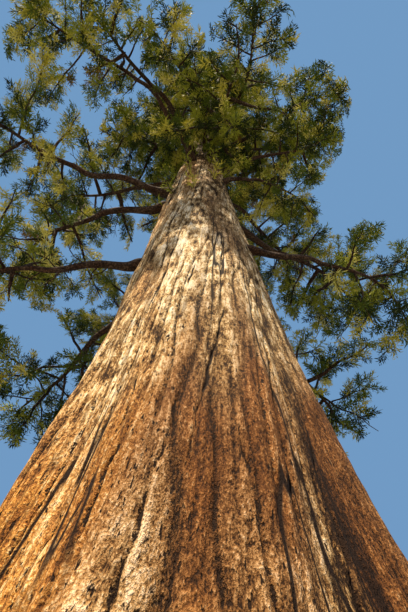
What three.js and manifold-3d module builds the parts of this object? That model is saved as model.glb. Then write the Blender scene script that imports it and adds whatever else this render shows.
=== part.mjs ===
// A giant sequoia as a whole tree: one trunk from a flat cut at ground level to its tip, the main boughs,
// and masses of foliage that each grow from one stem. Millimetres, +Z up, with the origin at the centre of
// the flat cut. The tree is drawn evenly scaled so that it is 40 m high. Azimuths are in degrees, from -Y,
// the side that the tree is seen from, towards +X.
import * as THREE from "three";
import { mergeVertices } from "three/addons/utils/BufferGeometryUtils.js";
import Module from "manifold-3d";

const wasm = await Module();
wasm.setup();

// Driving dimensions
const TREE_HEIGHT = 40000;
const TRUNK_TOP = 36800; // the top mass grows on from here
const TAPER = 0.0403; // radius lost per unit of height above the swollen foot
const FLARE = 750; // extra radius at the ground
const FLARE_HEIGHT = 2600; // height over which the flare falls to 1/e
const LEAN = 150; // how far the top stands to +X of the foot
const GRAIN_TWIST = 2.4; // degrees that the ribs turn for each metre of height
const GAP = 0.4; // clearance left between neighbouring solids

// The ribs of the trunk: azimuth, half width in degrees, and how far each stands out as a share of the
// radius, at the ground and high up.
const RIBS = [
  { at: 57, width: 13, foot: 0.2, high: 0.08 },
  { at: 98, width: 14, foot: 0.14, high: 0.03 },
  { at: 140, width: 14, foot: 0.2, high: 0.05 },
  { at: 184, width: 12, foot: 0.13, high: 0.03 },
  { at: 224, width: 14, foot: 0.19, high: 0.05 },
  { at: 263, width: 13, foot: 0.15, high: 0.045 },
  { at: 300, width: 11, foot: 0.12, high: 0.04 },
  { at: 336, width: 13, foot: 0.14, high: 0.03 },
  { at: 11, width: 13, foot: 0.13, high: 0.035 },
];
const HOLLOW_FOOT = 0.07; // how far the hollows between the ribs lie inside the round, at the ground
const HOLLOW_HIGH = 0.025; // and high up
const RIB_FALL = 3600; // height over which a rib falls from its foot size towards its high size

// The boughs that bear a mass at their end. height is where one leaves the trunk, reach how far its tip is
// from the trunk's axis, sweep how far it turns sideways, end how much higher its tip is, and sag how far
// its middle hangs below the straight line. bare is the share of its length without foliage, wide and deep
// are the size of its mass across and upright.
const BOUGHS = [
  {
    name: "low_left", height: 8600, azimuth: -71, reach: 5900, sweep: -20, end: 700, sag: 1100,
    bare: 0.4, girth: 85, wide: 4750, deep: 3300,
  },
  {
    name: "low_back_left", height: 9600, azimuth: -126, reach: 6400, sweep: -8, end: -900, sag: -100,
    bare: 0.38, girth: 120, wide: 5050, deep: 4000,
  },
  {
    name: "low_back", height: 8300, azimuth: 178, reach: 6000, sweep: 9, end: -500, sag: 200,
    bare: 0.4, girth: 105, wide: 4750, deep: 3800,
  },
  {
    name: "low_back_right", height: 9900, azimuth: 133, reach: 6500, sweep: 6, end: -900, sag: 100,
    bare: 0.38, girth: 125, wide: 5050, deep: 4000,
  },
  {
    name: "low_right", height: 9600, azimuth: 71, reach: 5400, sweep: 30, end: -350, sag: 380,
    bare: 0.36, girth: 80, wide: 3950, deep: 3300,
  },
  {
    name: "side_left", height: 12700, azimuth: -72, reach: 5900, sweep: -36, end: -350, sag: 600,
    bare: 0.4, girth: 120, wide: 4300, deep: 3800,
  },
  {
    name: "side_back_left", height: 13600, azimuth: -151, reach: 6300, sweep: 8, end: -500, sag: 300,
    bare: 0.38, girth: 130, wide: 4850, deep: 4400,
  },
  {
    name: "side_back_right", height: 13100, azimuth: 160, reach: 6200, sweep: -4, end: -400, sag: 250,
    bare: 0.38, girth: 125, wide: 4750, deep: 4400,
  },
  {
    name: "side_right", height: 13000, azimuth: 108, reach: 6100, sweep: 5, end: -600, sag: 200,
    bare: 0.36, girth: 120, wide: 4750, deep: 4200,
  },
  {
    name: "fore_right_low", height: 14700, azimuth: 51, reach: 3900, sweep: 46, end: -250, sag: -100,
    bare: 0.34, girth: 75, wide: 2800, deep: 2700,
  },
  {
    name: "fore_left_low", height: 14000, azimuth: -68, reach: 7600, sweep: -1, end: -200, sag: 1000,
    bare: 0.44, girth: 125, wide: 5400, deep: 3800,
  },
  {
    name: "fore_left", height: 16700, azimuth: -22, reach: 8300, sweep: -30, end: 150, sag: -800,
    bare: 0.46, girth: 115, wide: 5000, deep: 3400,
  },
  {
    name: "fore_left_high", height: 17800, azimuth: -24, reach: 7100, sweep: -16, end: -150, sag: -900,
    bare: 0.5, girth: 150, wide: 4300, deep: 3300,
  },
  {
    name: "fore_middle", height: 19000, azimuth: 11, reach: 5800, sweep: -38, end: -1300, sag: -180,
    bare: 0.4, girth: 105, wide: 4300, deep: 3500,
  },
  {
    name: "fore_right", height: 19500, azimuth: 29, reach: 6300, sweep: -12, end: -2000, sag: 200,
    bare: 0.42, girth: 105, wide: 4000, deep: 3500,
  },
  {
    name: "fore_right_high", height: 20300, azimuth: 54, reach: 6400, sweep: 2, end: -2050, sag: -190,
    bare: 0.4, girth: 100, wide: 3600, deep: 3100,
  },
  {
    name: "fore_right_side", height: 17300, azimuth: 63, reach: 5500, sweep: 7, end: -450, sag: 180,
    bare: 0.4, girth: 95, wide: 3100, deep: 3000,
  },
  {
    name: "high_left", height: 17600, azimuth: -97, reach: 6600, sweep: -6, end: 200, sag: 250,
    bare: 0.36, girth: 120, wide: 6000, deep: 4200,
  },
  {
    name: "high_back", height: 17600, azimuth: 186, reach: 5900, sweep: -8, end: -500, sag: 250,
    bare: 0.36, girth: 125, wide: 4750, deep: 4400,
  },
  {
    name: "high_right", height: 17200, azimuth: 122, reach: 5900, sweep: 6, end: -500, sag: 250,
    bare: 0.36, girth: 120, wide: 4750, deep: 4300,
  },
];
const CROWN_GIRTH = 0.02; // radius of the limbs above them at the trunk, as a share of their reach
const TIP_GIRTH = 0.16; // radius at a stem's tip, as a share of that where its bough left the trunk
const KINK = 2.2; // degrees that a bough swings to and fro

// Above the boughs, masses sit straight on the trunk in a spiral.
const SPIRAL_MASSES = 18;
const SPIRAL_FOOT = 18600;
const SPIRAL_TOP = 36300;
const SPIRAL_TURN = 137.5;
const SPIRAL_START = 20;
const SPIRAL_WIDE = 1.45; // width of such a mass as a share of its reach, and its least width
const SPIRAL_LEAST_WIDE = 2400;
const CROWN_REACH = 6100; // reach of the crown at its widest, at CROWN_SHOULDER
const CROWN_SHOULDER = 15500;
const CROWN_ROUNDING = 0.52;
const TOP = { deep: 3900, wide: 3300, girth: 95, twigs: 9 }; // the mass that the leader bears

// Twigs and the sprays of needles on them. Each spray is one keeled blade that stands for many.
const TWIG_GIRTH = 28; // radius of a twig where it leaves its stem
const SPRAY_LENGTH = 1250;
const SPRAY_WIDTH = 560;
const SPRAY_THICKNESS = 160;
const TWIG_TURN = 137.5; // from each twig of a stem to the next, round the stem
const SPACE_MARGIN = 40; // how far every twig and spray stays inside the space of its mass

const UP = new THREE.Vector3(0, 0, 1);
const radians = THREE.MathUtils.degToRad;

const bark = new THREE.MeshStandardMaterial({ name: "bark", color: 0x9a5c30, roughness: 0.9 });
const boughBark = new THREE.MeshStandardMaterial({ name: "bough_bark", color: 0x5f4230, roughness: 0.9 });
const needles = new THREE.MeshStandardMaterial({ name: "needles", color: 0x5f6f2c, roughness: 0.75 });

// A stream of numbers from 0 to 1 that is the same on every run.
function seeded(seed) {
  let state = seed * 2654435761;
  return () => {
    state = (state + 0x6d2b79f5) | 0;
    let mixed = Math.imul(state ^ (state >>> 15), 1 | state);
    mixed = (mixed + Math.imul(mixed ^ (mixed >>> 7), 61 | mixed)) ^ mixed;
    return ((mixed ^ (mixed >>> 14)) >>> 0) / 4294967296;
  };
}

// The unit vector over the ground at an azimuth.
function outwards(azimuth) {
  return new THREE.Vector3(Math.sin(radians(azimuth)), -Math.cos(radians(azimuth)), 0);
}

function trunkCentre(z) {
  return new THREE.Vector3(LEAN * (Math.max(z, 0) / TREE_HEIGHT) ** 1.5, 0, z);
}

function trunkRadius(z, azimuth) {
  const round = TAPER * (TREE_HEIGHT - z) + FLARE * Math.exp(-z / FLARE_HEIGHT);
  const fall = Math.exp(-z / RIB_FALL);
  let ribbed = 1 - HOLLOW_FOOT * fall - HOLLOW_HIGH;
  for (const rib of RIBS) {
    const middle = rib.at + (GRAIN_TWIST * z) / 1000;
    const off = ((((azimuth - middle + 180) % 360) + 360) % 360) - 180;
    ribbed += (rib.high + (rib.foot - rib.high) * fall) * Math.exp(-((off / rib.width) ** 2));
  }
  return Math.max(round * ribbed, 45);
}

function crownReach(z) {
  const up = THREE.MathUtils.clamp((z - CROWN_SHOULDER) / (TREE_HEIGHT + 300 - CROWN_SHOULDER), 0, 1);
  return CROWN_REACH * (1 - up) ** CROWN_ROUNDING;
}

// The line of a bough and of the stem that goes on from it: a point for each share from 0, at the trunk's
// surface, to 1, at the tip.
function limbLine(row) {
  const foot = trunkCentre(row.height);
  const start = trunkRadius(row.height, row.azimuth);
  return (share) => {
    const swing = KINK * Math.sin(9 * share + row.height) * share;
    const away = THREE.MathUtils.lerp(start, row.reach, share);
    const point = outwards(row.azimuth + row.sweep * share + swing).multiplyScalar(away).add(foot);
    point.z += row.end * share - row.sag * 4 * share * (1 - share);
    return point;
  };
}

// A closed tapering limb along a line between two shares. The tube is a cylinder bent to the line.
function limb(line, from, to, girth, sides, rings) {
  const geometry = new THREE.CylinderGeometry(1, 1, 1, sides, rings);
  const place = geometry.getAttribute("position");
  const step = 0.002;
  for (let i = 0; i < place.count; i++) {
    const share = THREE.MathUtils.lerp(from, to, place.getY(i) + 0.5);
    const along = line(share + step).sub(line(share - step)).normalize();
    const across = new THREE.Vector3().crossVectors(along, UP).normalize();
    const above = new THREE.Vector3().crossVectors(across, along);
    const point = line(share);
    point.addScaledVector(across, -place.getX(i) * girth(share));
    point.addScaledVector(above, place.getZ(i) * girth(share));
    place.setXYZ(i, point.x, point.y, point.z);
  }
  return geometry;
}

// The trunk's own tube, stood out by a margin when it is to cut its neighbours clear.
function trunkShape(margin) {
  const sides = 36;
  const rings = 12;
  const geometry = new THREE.CylinderGeometry(1, 1, 1, sides, rings);
  const place = geometry.getAttribute("position");
  for (let i = 0; i < place.count; i++) {
    const share = place.getY(i) + 0.5;
    const z = TRUNK_TOP * share ** 1.7;
    const azimuth = THREE.MathUtils.radToDeg(Math.atan2(place.getX(i), place.getZ(i)));
    const onAxis = Math.hypot(place.getX(i), place.getZ(i)) < 0.5;
    const radius = onAxis ? 0 : trunkRadius(z, azimuth) + margin;
    const point = outwards(azimuth).multiplyScalar(radius).add(trunkCentre(z));
    const rise = margin * (share > 0.999 ? 1 : 0) - margin * (share < 0.001 ? 1 : 0);
    place.setXYZ(i, point.x, point.y, point.z + rise);
  }
  return geometry;
}

// A spray of needles: a keeled blade from its root to its tip, widest nearer the root.
function spray(root, tip, width, thickness) {
  const along = tip.clone().sub(root);
  const across = new THREE.Vector3().crossVectors(along, UP).normalize();
  const above = new THREE.Vector3().crossVectors(across, along).normalize();
  const geometry = new THREE.OctahedronGeometry(1, 0);
  const place = geometry.getAttribute("position");
  const WIDEST = 0.42;
  for (let i = 0; i < place.count; i++) {
    const end = place.getY(i);
    const share = Math.abs(end) < 0.5 ? WIDEST : (end + 1) / 2;
    const point = root.clone().addScaledVector(along, share);
    point.addScaledVector(across, (place.getX(i) * width) / 2);
    point.addScaledVector(above, (place.getZ(i) * thickness) / 2);
    place.setXYZ(i, point.x, point.y, point.z);
  }
  return geometry;
}

// A closed geometry as a solid that can be joined and cut, and a solid as a geometry.
function solidOf(geometry) {
  const bare = geometry.clone();
  bare.deleteAttribute("normal");
  bare.deleteAttribute("uv");
  const merged = mergeVertices(bare, 1e-3);
  const vertProperties = new Float32Array(merged.getAttribute("position").array);
  const triVerts = new Uint32Array(merged.index.array);
  const solid = new wasm.Manifold(new wasm.Mesh({ numProp: 3, vertProperties, triVerts }));
  if (solid.volume() > 0) return solid;
  for (let i = 0; i < triVerts.length; i += 3) triVerts.subarray(i, i + 3).reverse();
  return new wasm.Manifold(new wasm.Mesh({ numProp: 3, vertProperties, triVerts }));
}

function geometryOf(solid) {
  const mesh = solid.getMesh();
  const place = new Float32Array(mesh.numVert * 3);
  for (let i = 0; i < mesh.numVert; i++) {
    place.set(mesh.vertProperties.subarray(i * mesh.numProp, i * mesh.numProp + 3), i * 3);
  }
  const geometry = new THREE.BufferGeometry();
  geometry.setAttribute("position", new THREE.BufferAttribute(place, 3));
  geometry.setIndex(new THREE.BufferAttribute(new Uint32Array(mesh.triVerts), 1));
  geometry.computeVertexNormals();
  return geometry;
}

// The largest body of a solid, without the loose scraps that cutting can leave.
function largestBody(solid) {
  const bodies = solid.decompose();
  return bodies.reduce((best, body) => (body.volume() > best.volume() ? body : best), bodies[0]);
}

// Every mass as a row: its line, the share where its stem starts, and its size. Where core is given, its
// space starts there and not at its stem's start, and inner is where its first twig is.
function massRows() {
  const rows = BOUGHS.map((row) => ({ ...row, line: limbLine(row), onTrunk: false }));
  for (let k = 0; k < SPIRAL_MASSES; k++) {
    const up = k / (SPIRAL_MASSES - 1);
    const height = THREE.MathUtils.lerp(SPIRAL_FOOT, SPIRAL_TOP, up);
    const reach = crownReach(height) * (0.95 + 0.1 * Math.sin(2.4 * k));
    const row = {
      name: `crown_${String(k + 1).padStart(2, "0")}`,
      height: height - 0.1 * reach,
      azimuth: (SPIRAL_START + SPIRAL_TURN * k) % 360,
      reach,
      sweep: k % 2 ? 8 : -8,
      end: THREE.MathUtils.lerp(-600, 600, up),
      sag: THREE.MathUtils.lerp(100, 60, up),
      bare: 0,
      core: -0.2,
      inner: 0.1,
      wide: Math.max(SPIRAL_WIDE * reach, SPIRAL_LEAST_WIDE),
      deep: THREE.MathUtils.lerp(5400, 3600, up),
    };
    rows.push({ ...row, line: limbLine(row), onTrunk: true });
  }
  const leader = (share) => trunkCentre(THREE.MathUtils.lerp(TRUNK_TOP, TREE_HEIGHT, share));
  const top = { name: "top", height: TRUNK_TOP, reach: TOP.wide / 2, line: leader, bare: 0 };
  rows.push({ ...TOP, ...top, isTop: true });
  return rows;
}

// The space that a mass keeps to: an ellipsoid round its stem, and the flat faces between it and its
// neighbours.
function spaceOf(row) {
  const inner = row.line(row.core ?? row.bare);
  const outer = row.line(1);
  const middle = inner.clone().add(outer).multiplyScalar(0.5);
  const along = outer.clone().sub(inner);
  const half = along.length() / 2;
  if (row.isTop) middle.z = TREE_HEIGHT + SPACE_MARGIN - row.deep / 2;
  const axis = row.isTop ? new THREE.Vector3(1, 0, 0) : along.clone().setZ(0).normalize();
  const side = new THREE.Vector3().crossVectors(UP, axis);
  const long = row.isTop ? row.wide / 2 : half * 1.04;
  return { middle, axis, side, long, wide: row.wide / 2, deep: row.deep / 2, faces: [] };
}

// How far a space reaches from its middle in one direction.
function support(space, direction) {
  return Math.hypot(
    direction.dot(space.axis) * space.long,
    direction.dot(space.side) * space.wide,
    direction.z * space.deep,
  );
}

function partSpaces(spaces) {
  spaces.forEach((a, i) =>
    spaces.slice(i + 1).forEach((b) => {
      const apart = b.middle.clone().sub(a.middle);
      const distance = apart.length();
      const towards = apart.normalize();
      const share = support(a, towards) / (support(a, towards) + support(b, towards));
      const meeting = a.middle.clone().addScaledVector(towards, distance * share);
      a.faces.push({ normal: towards, limit: towards.dot(meeting) - SPACE_MARGIN });
      b.faces.push({ normal: towards.clone().negate(), limit: -towards.dot(meeting) - SPACE_MARGIN });
    }),
  );
}

function inSpace(space, point) {
  const from = point.clone().sub(space.middle);
  const share = Math.hypot(
    from.dot(space.axis) / space.long,
    from.dot(space.side) / space.wide,
    from.z / space.deep,
  );
  return share <= 1 && space.faces.every((face) => face.normal.dot(point) < face.limit);
}

// The points along every limb, with its radius there, that twigs and sprays stay clear of.
function limbPoints(rows) {
  const found = [];
  for (const row of rows) {
    const girth = girthOf(row);
    for (let share = 0; share <= 1; share += 0.03) {
      found.push({ at: row.line(share), girth: girth(share), row });
    }
  }
  return found;
}

function girthOf(row) {
  const foot = row.girth ?? Math.max(CROWN_GIRTH * row.reach, 40);
  return (share) => THREE.MathUtils.lerp(foot, foot * TIP_GIRTH, Math.max(share, 0) ** 0.8);
}

function touchesLimb(points, row, a, b, halfWidth) {
  const line = new THREE.Line3(a, b);
  const nearest = new THREE.Vector3();
  return points.some(({ at, girth, row: owner }) => {
    if (owner === row) return false;
    line.closestPointToPoint(at, true, nearest);
    return nearest.distanceTo(at) < girth + halfWidth + SPACE_MARGIN;
  });
}

function touchesTrunk(...points) {
  return points.some((point) => {
    if (point.z > TRUNK_TOP) return false;
    const from = point.clone().sub(trunkCentre(point.z));
    const azimuth = THREE.MathUtils.radToDeg(Math.atan2(from.x, -from.y));
    return Math.hypot(from.x, from.y) < trunkRadius(point.z, azimuth) + SPACE_MARGIN;
  });
}

// How far a ray from a point inside a space gets before it leaves the ellipsoid.
function roomAlong(space, from, direction) {
  let far = 0;
  const step = 50;
  while (far < 6000 && inSpace(space, from.clone().addScaledVector(direction, far + step))) far += step;
  return far;
}

// A mass: its stem, the twigs that branch from it to either side, and the sprays on them.
function growMass(row, number, space, points, trunkCut) {
  const dice = seeded(number + 1);
  const girth = girthOf(row);
  const line = row.line;
  const length = line(1).distanceTo(line(row.bare));
  const share = (clear) => row.bare + (clear / length) * (1 - row.bare);
  const start = row.onTrunk ? -180 / row.reach : share(row.isTop ? 0 : GAP);
  const stemTip = 1 - (0.3 * SPRAY_LENGTH) / length;
  const inner = row.inner ?? row.bare + 0.04;
  let made = solidOf(limb(line, start, stemTip, girth, 4, row.isTop ? 1 : 3));
  const keep = (root, tip, width) => {
    const thickness = (width / SPRAY_WIDTH) * SPRAY_THICKNESS;
    const blade = spray(root, tip, width, thickness);
    const place = blade.getAttribute("position");
    for (let i = 0; i < place.count; i++) {
      if (!inSpace(space, new THREE.Vector3().fromBufferAttribute(place, i))) return false;
    }
    if (touchesTrunk(tip, root.clone().lerp(tip, 0.5))) return false;
    if (touchesLimb(points, row, root, tip, width / 2)) return false;
    made = made.add(solidOf(blade));
    return true;
  };
  const leader = line(stemTip).clone().sub(line(stemTip - 0.02)).normalize();
  const leaderRoot = line(stemTip - 0.01);
  const leaderRoom = roomAlong(space, leaderRoot, leader);
  keep(leaderRoot, leaderRoot.clone().addScaledVector(leader, leaderRoom), SPRAY_WIDTH);

  const twigs = row.twigs ?? Math.round(THREE.MathUtils.clamp(length / 720, 5, 6));
  for (let k = 0; k < twigs; k++) {
    const at = THREE.MathUtils.lerp(inner, stemTip - 0.04, k / (twigs - 1));
    const from = line(at);
    const forward = line(at + 0.02).sub(line(at - 0.02)).normalize();
    const level = row.isTop ? new THREE.Vector3(0, 1, 0) : UP;
    const side = new THREE.Vector3().crossVectors(forward, level).normalize();
    const above = new THREE.Vector3().crossVectors(side, forward);
    const turn = TWIG_TURN * (k + number) + 30 * dice();
    const open = radians(THREE.MathUtils.lerp(86, 46, k / (twigs - 1)) + 14 * dice());
    const way = side
      .multiplyScalar(Math.sin(radians(turn)))
      .addScaledVector(above, Math.cos(radians(turn)))
      .multiplyScalar(Math.sin(open))
      .addScaledVector(forward, Math.cos(open))
      .normalize();
    const room = roomAlong(space, from, way);
    const reach = room - 0.55 * SPRAY_LENGTH;
    if (reach < 250) {
      keep(from, from.clone().addScaledVector(way, Math.min(room, SPRAY_LENGTH)), 0.8 * SPRAY_WIDTH);
      continue;
    }
    const end = from.clone().addScaledVector(way, reach);
    const past = from.clone().lerp(end, 0.15);
    if (touchesTrunk(end) || touchesLimb(points, row, past, end, TWIG_GIRTH)) continue;
    const twigLine = (s) => from.clone().lerp(end, s);
    const twigGirth = (s) => THREE.MathUtils.lerp(TWIG_GIRTH, 0.5 * TWIG_GIRTH, s);
    made = made.add(solidOf(limb(twigLine, 0, 1, twigGirth, 3, 1)));
    const sprayTip = end.clone().addScaledVector(way, room - reach);
    keep(end.clone().addScaledVector(way, -40), sprayTip, SPRAY_WIDTH);
    const aside = new THREE.Vector3().crossVectors(way, UP).normalize();
    aside.multiplyScalar(dice() < 0.5 ? -1 : 1);
    for (const place of [0.35, 0.72]) {
      aside.negate();
      const root = twigLine(place + 0.1 * dice());
      const slant = way.clone().multiplyScalar(0.8).addScaledVector(aside, 0.75);
      slant.addScaledVector(UP, 0.3 * dice()).normalize();
      const tip = root.clone().addScaledVector(slant, SPRAY_LENGTH * (0.75 + 0.2 * dice()));
      if (reach > 1000 || place > 0.5) keep(root, tip, 0.85 * SPRAY_WIDTH);
    }
  }
  if (row.onTrunk || row.isTop) made = made.subtract(trunkCut);
  return geometryOf(largestBody(made));
}

function addNode(group, name, geometry, material) {
  const mesh = new THREE.Mesh(geometry, material);
  mesh.name = name;
  group.add(mesh);
}

const tree = new THREE.Group();
const rows = massRows();
const spaces = rows.map(spaceOf);
partSpaces(spaces);
const points = limbPoints(rows);
const trunkCut = solidOf(trunkShape(GAP));

addNode(tree, "trunk", trunkShape(0), bark);
for (const row of rows.filter((r) => r.bare > 0)) {
  const insideTrunk = -200 / row.reach;
  const tube = solidOf(limb(row.line, insideTrunk, row.bare, girthOf(row), 6, 4));
  addNode(tree, `bough_${row.name}`, geometryOf(largestBody(tube.subtract(trunkCut))), boughBark);
}
rows.forEach((row, number) => {
  addNode(tree, `foliage_${row.name}`, growMass(row, number, spaces[number], points, trunkCut), needles);
});

export default tree;
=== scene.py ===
"""A giant sequoia seen from its foot: furrowed bark over the trunk and boughs, and foliage grown twig by twig.
Metres, +Z up. Azimuths are in degrees from -Y, the side the tree is seen from, towards +X."""

import math

import bmesh
import bpy
import numpy as np
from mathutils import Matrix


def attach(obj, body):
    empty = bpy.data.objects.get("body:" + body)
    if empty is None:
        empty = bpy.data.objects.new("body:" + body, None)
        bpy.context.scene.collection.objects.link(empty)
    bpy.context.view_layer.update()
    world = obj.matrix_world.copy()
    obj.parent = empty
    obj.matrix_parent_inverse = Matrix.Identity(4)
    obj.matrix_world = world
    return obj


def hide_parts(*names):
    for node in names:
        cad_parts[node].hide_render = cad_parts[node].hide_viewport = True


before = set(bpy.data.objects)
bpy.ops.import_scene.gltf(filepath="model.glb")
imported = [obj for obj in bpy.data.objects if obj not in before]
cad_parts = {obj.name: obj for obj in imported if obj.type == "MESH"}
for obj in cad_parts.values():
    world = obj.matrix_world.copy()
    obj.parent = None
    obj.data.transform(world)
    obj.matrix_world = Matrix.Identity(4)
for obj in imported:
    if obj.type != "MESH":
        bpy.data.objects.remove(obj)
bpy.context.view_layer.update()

# ---- The tree's own sizes, as in its solids ----

TREE_HEIGHT = 40.0
TRUNK_TOP = 36.8
TAPER = 0.0403  # radius that the trunk loses with each metre
FLARE = 0.75  # added to its radius at the ground
FLARE_HEIGHT = 2.6
LEAN = 0.15  # of its top, towards +X
LEAST_RADIUS = 0.045
GRAIN_TWIST = 2.4  # degrees a metre
# the trunk's ribs: azimuth, half width in degrees, share of the radius at the ground, and high up
RIBS = (
    (57, 13, 0.20, 0.080),
    (98, 14, 0.14, 0.030),
    (140, 14, 0.20, 0.050),
    (184, 12, 0.13, 0.030),
    (224, 14, 0.19, 0.050),
    (263, 13, 0.15, 0.045),
    (300, 11, 0.12, 0.040),
    (336, 13, 0.14, 0.030),
    (11, 13, 0.13, 0.035),
)
HOLLOW_FOOT = 0.07
HOLLOW_HIGH = 0.025
RIB_FALL = 3.6

# the line of a bough and its mass: height on the trunk, azimuth, reach from the trunk's axis, degrees that it
# sweeps aside, height of its end over its foot, sag, the share of it that is bare, radius at its foot, and how
# wide and deep its mass is
BOUGH_FIELDS = ("name", "height", "azimuth", "reach", "sweep", "end", "sag", "bare", "girth", "wide", "deep")
BOUGHS = [
    dict(zip(BOUGH_FIELDS, values))
    for values in (
        ("low_left", 8.6, -71, 5.9, -20, 0.7, 1.1, 0.4, 0.085, 4.75, 3.3),
        ("low_back_left", 9.6, -126, 6.4, -8, -0.9, -0.1, 0.38, 0.12, 5.05, 4.0),
        ("low_back", 8.3, 178, 6.0, 9, -0.5, 0.2, 0.4, 0.105, 4.75, 3.8),
        ("low_back_right", 9.9, 133, 6.5, 6, -0.9, 0.1, 0.38, 0.125, 5.05, 4.0),
        ("low_right", 9.6, 71, 5.4, 30, -0.35, 0.38, 0.36, 0.08, 3.95, 3.3),
        ("side_left", 12.7, -72, 5.9, -36, -0.35, 0.6, 0.4, 0.12, 4.3, 3.8),
        ("side_back_left", 13.6, -151, 6.3, 8, -0.5, 0.3, 0.38, 0.13, 4.85, 4.4),
        ("side_back_right", 13.1, 160, 6.2, -4, -0.4, 0.25, 0.38, 0.125, 4.75, 4.4),
        ("side_right", 13.0, 108, 6.1, 5, -0.6, 0.2, 0.36, 0.12, 4.75, 4.2),
        ("fore_right_low", 14.7, 51, 3.9, 46, -0.25, -0.1, 0.34, 0.075, 2.8, 2.7),
        ("fore_left_low", 14.0, -68, 7.6, -1, -0.2, 1.0, 0.44, 0.125, 5.4, 3.8),
        ("fore_left", 16.7, -22, 8.3, -30, 0.15, -0.8, 0.46, 0.115, 5.0, 3.4),
        ("fore_left_high", 17.8, -24, 7.1, -16, -0.15, -0.9, 0.5, 0.15, 4.3, 3.3),
        ("fore_middle", 19.0, 11, 5.8, -38, -1.3, -0.18, 0.4, 0.105, 4.3, 3.5),
        ("fore_right", 19.5, 29, 6.3, -12, -2.0, 0.2, 0.42, 0.105, 4.0, 3.5),
        ("fore_right_high", 20.3, 54, 6.4, 2, -2.05, -0.19, 0.4, 0.1, 3.6, 3.1),
        ("fore_right_side", 17.3, 63, 5.5, 7, -0.45, 0.18, 0.4, 0.095, 3.1, 3.0),
        ("high_left", 17.6, -97, 6.6, -6, 0.2, 0.25, 0.36, 0.12, 6.0, 4.2),
        ("high_back", 17.6, 186, 5.9, -8, -0.5, 0.25, 0.36, 0.125, 4.75, 4.4),
        ("high_right", 17.2, 122, 5.9, 6, -0.5, 0.25, 0.36, 0.12, 4.75, 4.3),
    )
]
CROWN_GIRTH, LEAST_CROWN_GIRTH = 0.02, 0.04  # a crown stem's radius at its foot: a share of its reach, and least
TIP_GIRTH, GIRTH_FALL = 0.16, 0.8  # a limb's tip as a share of its foot, and how evenly it tapers
KINK, KINKS = 2.2, 9  # degrees that a limb swings aside, and how often
SPIRAL_MASSES = 18
SPIRAL_FOOT, SPIRAL_TOP = 18.6, 36.3
SPIRAL_TURN, SPIRAL_START = 137.5, 20
SPIRAL_WIDE, SPIRAL_LEAST_WIDE = 1.45, 2.4
SPIRAL_SWEEP = 8
CROWN_REACH, CROWN_SHOULDER, CROWN_ROUNDING = 6.1, 15.5, 0.52
TOP = dict(deep=3.9, wide=3.3, girth=0.095)
GOLDEN = 137.5  # degrees from each shoot to the next round what they grow on
UP = np.array((0.0, 0.0, 1.0))


def bell(value, middle, width):
    """1 in the middle, and about a third of that at a width to either side."""
    return np.exp(-(((value - middle) / width) ** 2))


def within_half_turn(degrees):
    return (degrees + 180) % 360 - 180


def outwards(azimuth):
    """Unit vectors over the ground at azimuths in degrees."""
    a = np.radians(azimuth)
    return np.stack((np.sin(a), -np.cos(a), np.zeros_like(a)), -1)


def trunk_centre(z):
    z = np.asarray(z, float)
    x = LEAN * (np.maximum(z, 0) / TREE_HEIGHT) ** 1.5
    return np.stack((x, np.zeros_like(x), z), -1)


def plain_radius(z):
    """The trunk's radius without its ribs."""
    return TAPER * (TREE_HEIGHT - z) + FLARE * np.exp(-z / FLARE_HEIGHT)


def trunk_radius(z, azimuth):
    fall = np.exp(-z / RIB_FALL)
    ribbed = 1 - HOLLOW_FOOT * fall - HOLLOW_HIGH
    for at, width, foot, high in RIBS:
        off = within_half_turn(azimuth - at - GRAIN_TWIST * z)
        ribbed = ribbed + (high + (foot - high) * fall) * bell(off, 0, width)
    return np.maximum(plain_radius(z) * ribbed, LEAST_RADIUS)


def crown_reach(z):
    up = min(max((z - CROWN_SHOULDER) / (TREE_HEIGHT + 0.3 - CROWN_SHOULDER), 0), 1)
    return CROWN_REACH * (1 - up) ** CROWN_ROUNDING


def limb_line(row, share):
    """Points on the line of a bough and of the stem that goes on from it, for shares from 0 to 1."""
    share = np.asarray(share, float)
    if row.get("is_top"):
        return trunk_centre(TRUNK_TOP + share * (TREE_HEIGHT - TRUNK_TOP))
    start = trunk_radius(row["height"], row["azimuth"])
    # in millimetres, because the solids' kinks come from that number
    swing = KINK * np.sin(KINKS * share + row["height"] * 1000) * share
    away = start + (row["reach"] - start) * share
    point = outwards(row["azimuth"] + row["sweep"] * share + swing) * away[..., None]
    point = point + trunk_centre(row["height"])
    point[..., 2] += row["end"] * share - row["sag"] * 4 * share * (1 - share)
    return point


def limb_way(row, share, step=0.01):
    """Unit vectors along a limb's line, at shares of it."""
    return unit(limb_line(row, share + step) - limb_line(row, share - step))


def limb_girth(row, share):
    """A limb's radius, at shares of its line."""
    foot = row.get("girth") or max(CROWN_GIRTH * row["reach"], LEAST_CROWN_GIRTH)
    return foot + (foot * TIP_GIRTH - foot) * np.maximum(share, 0) ** GIRTH_FALL


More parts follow.
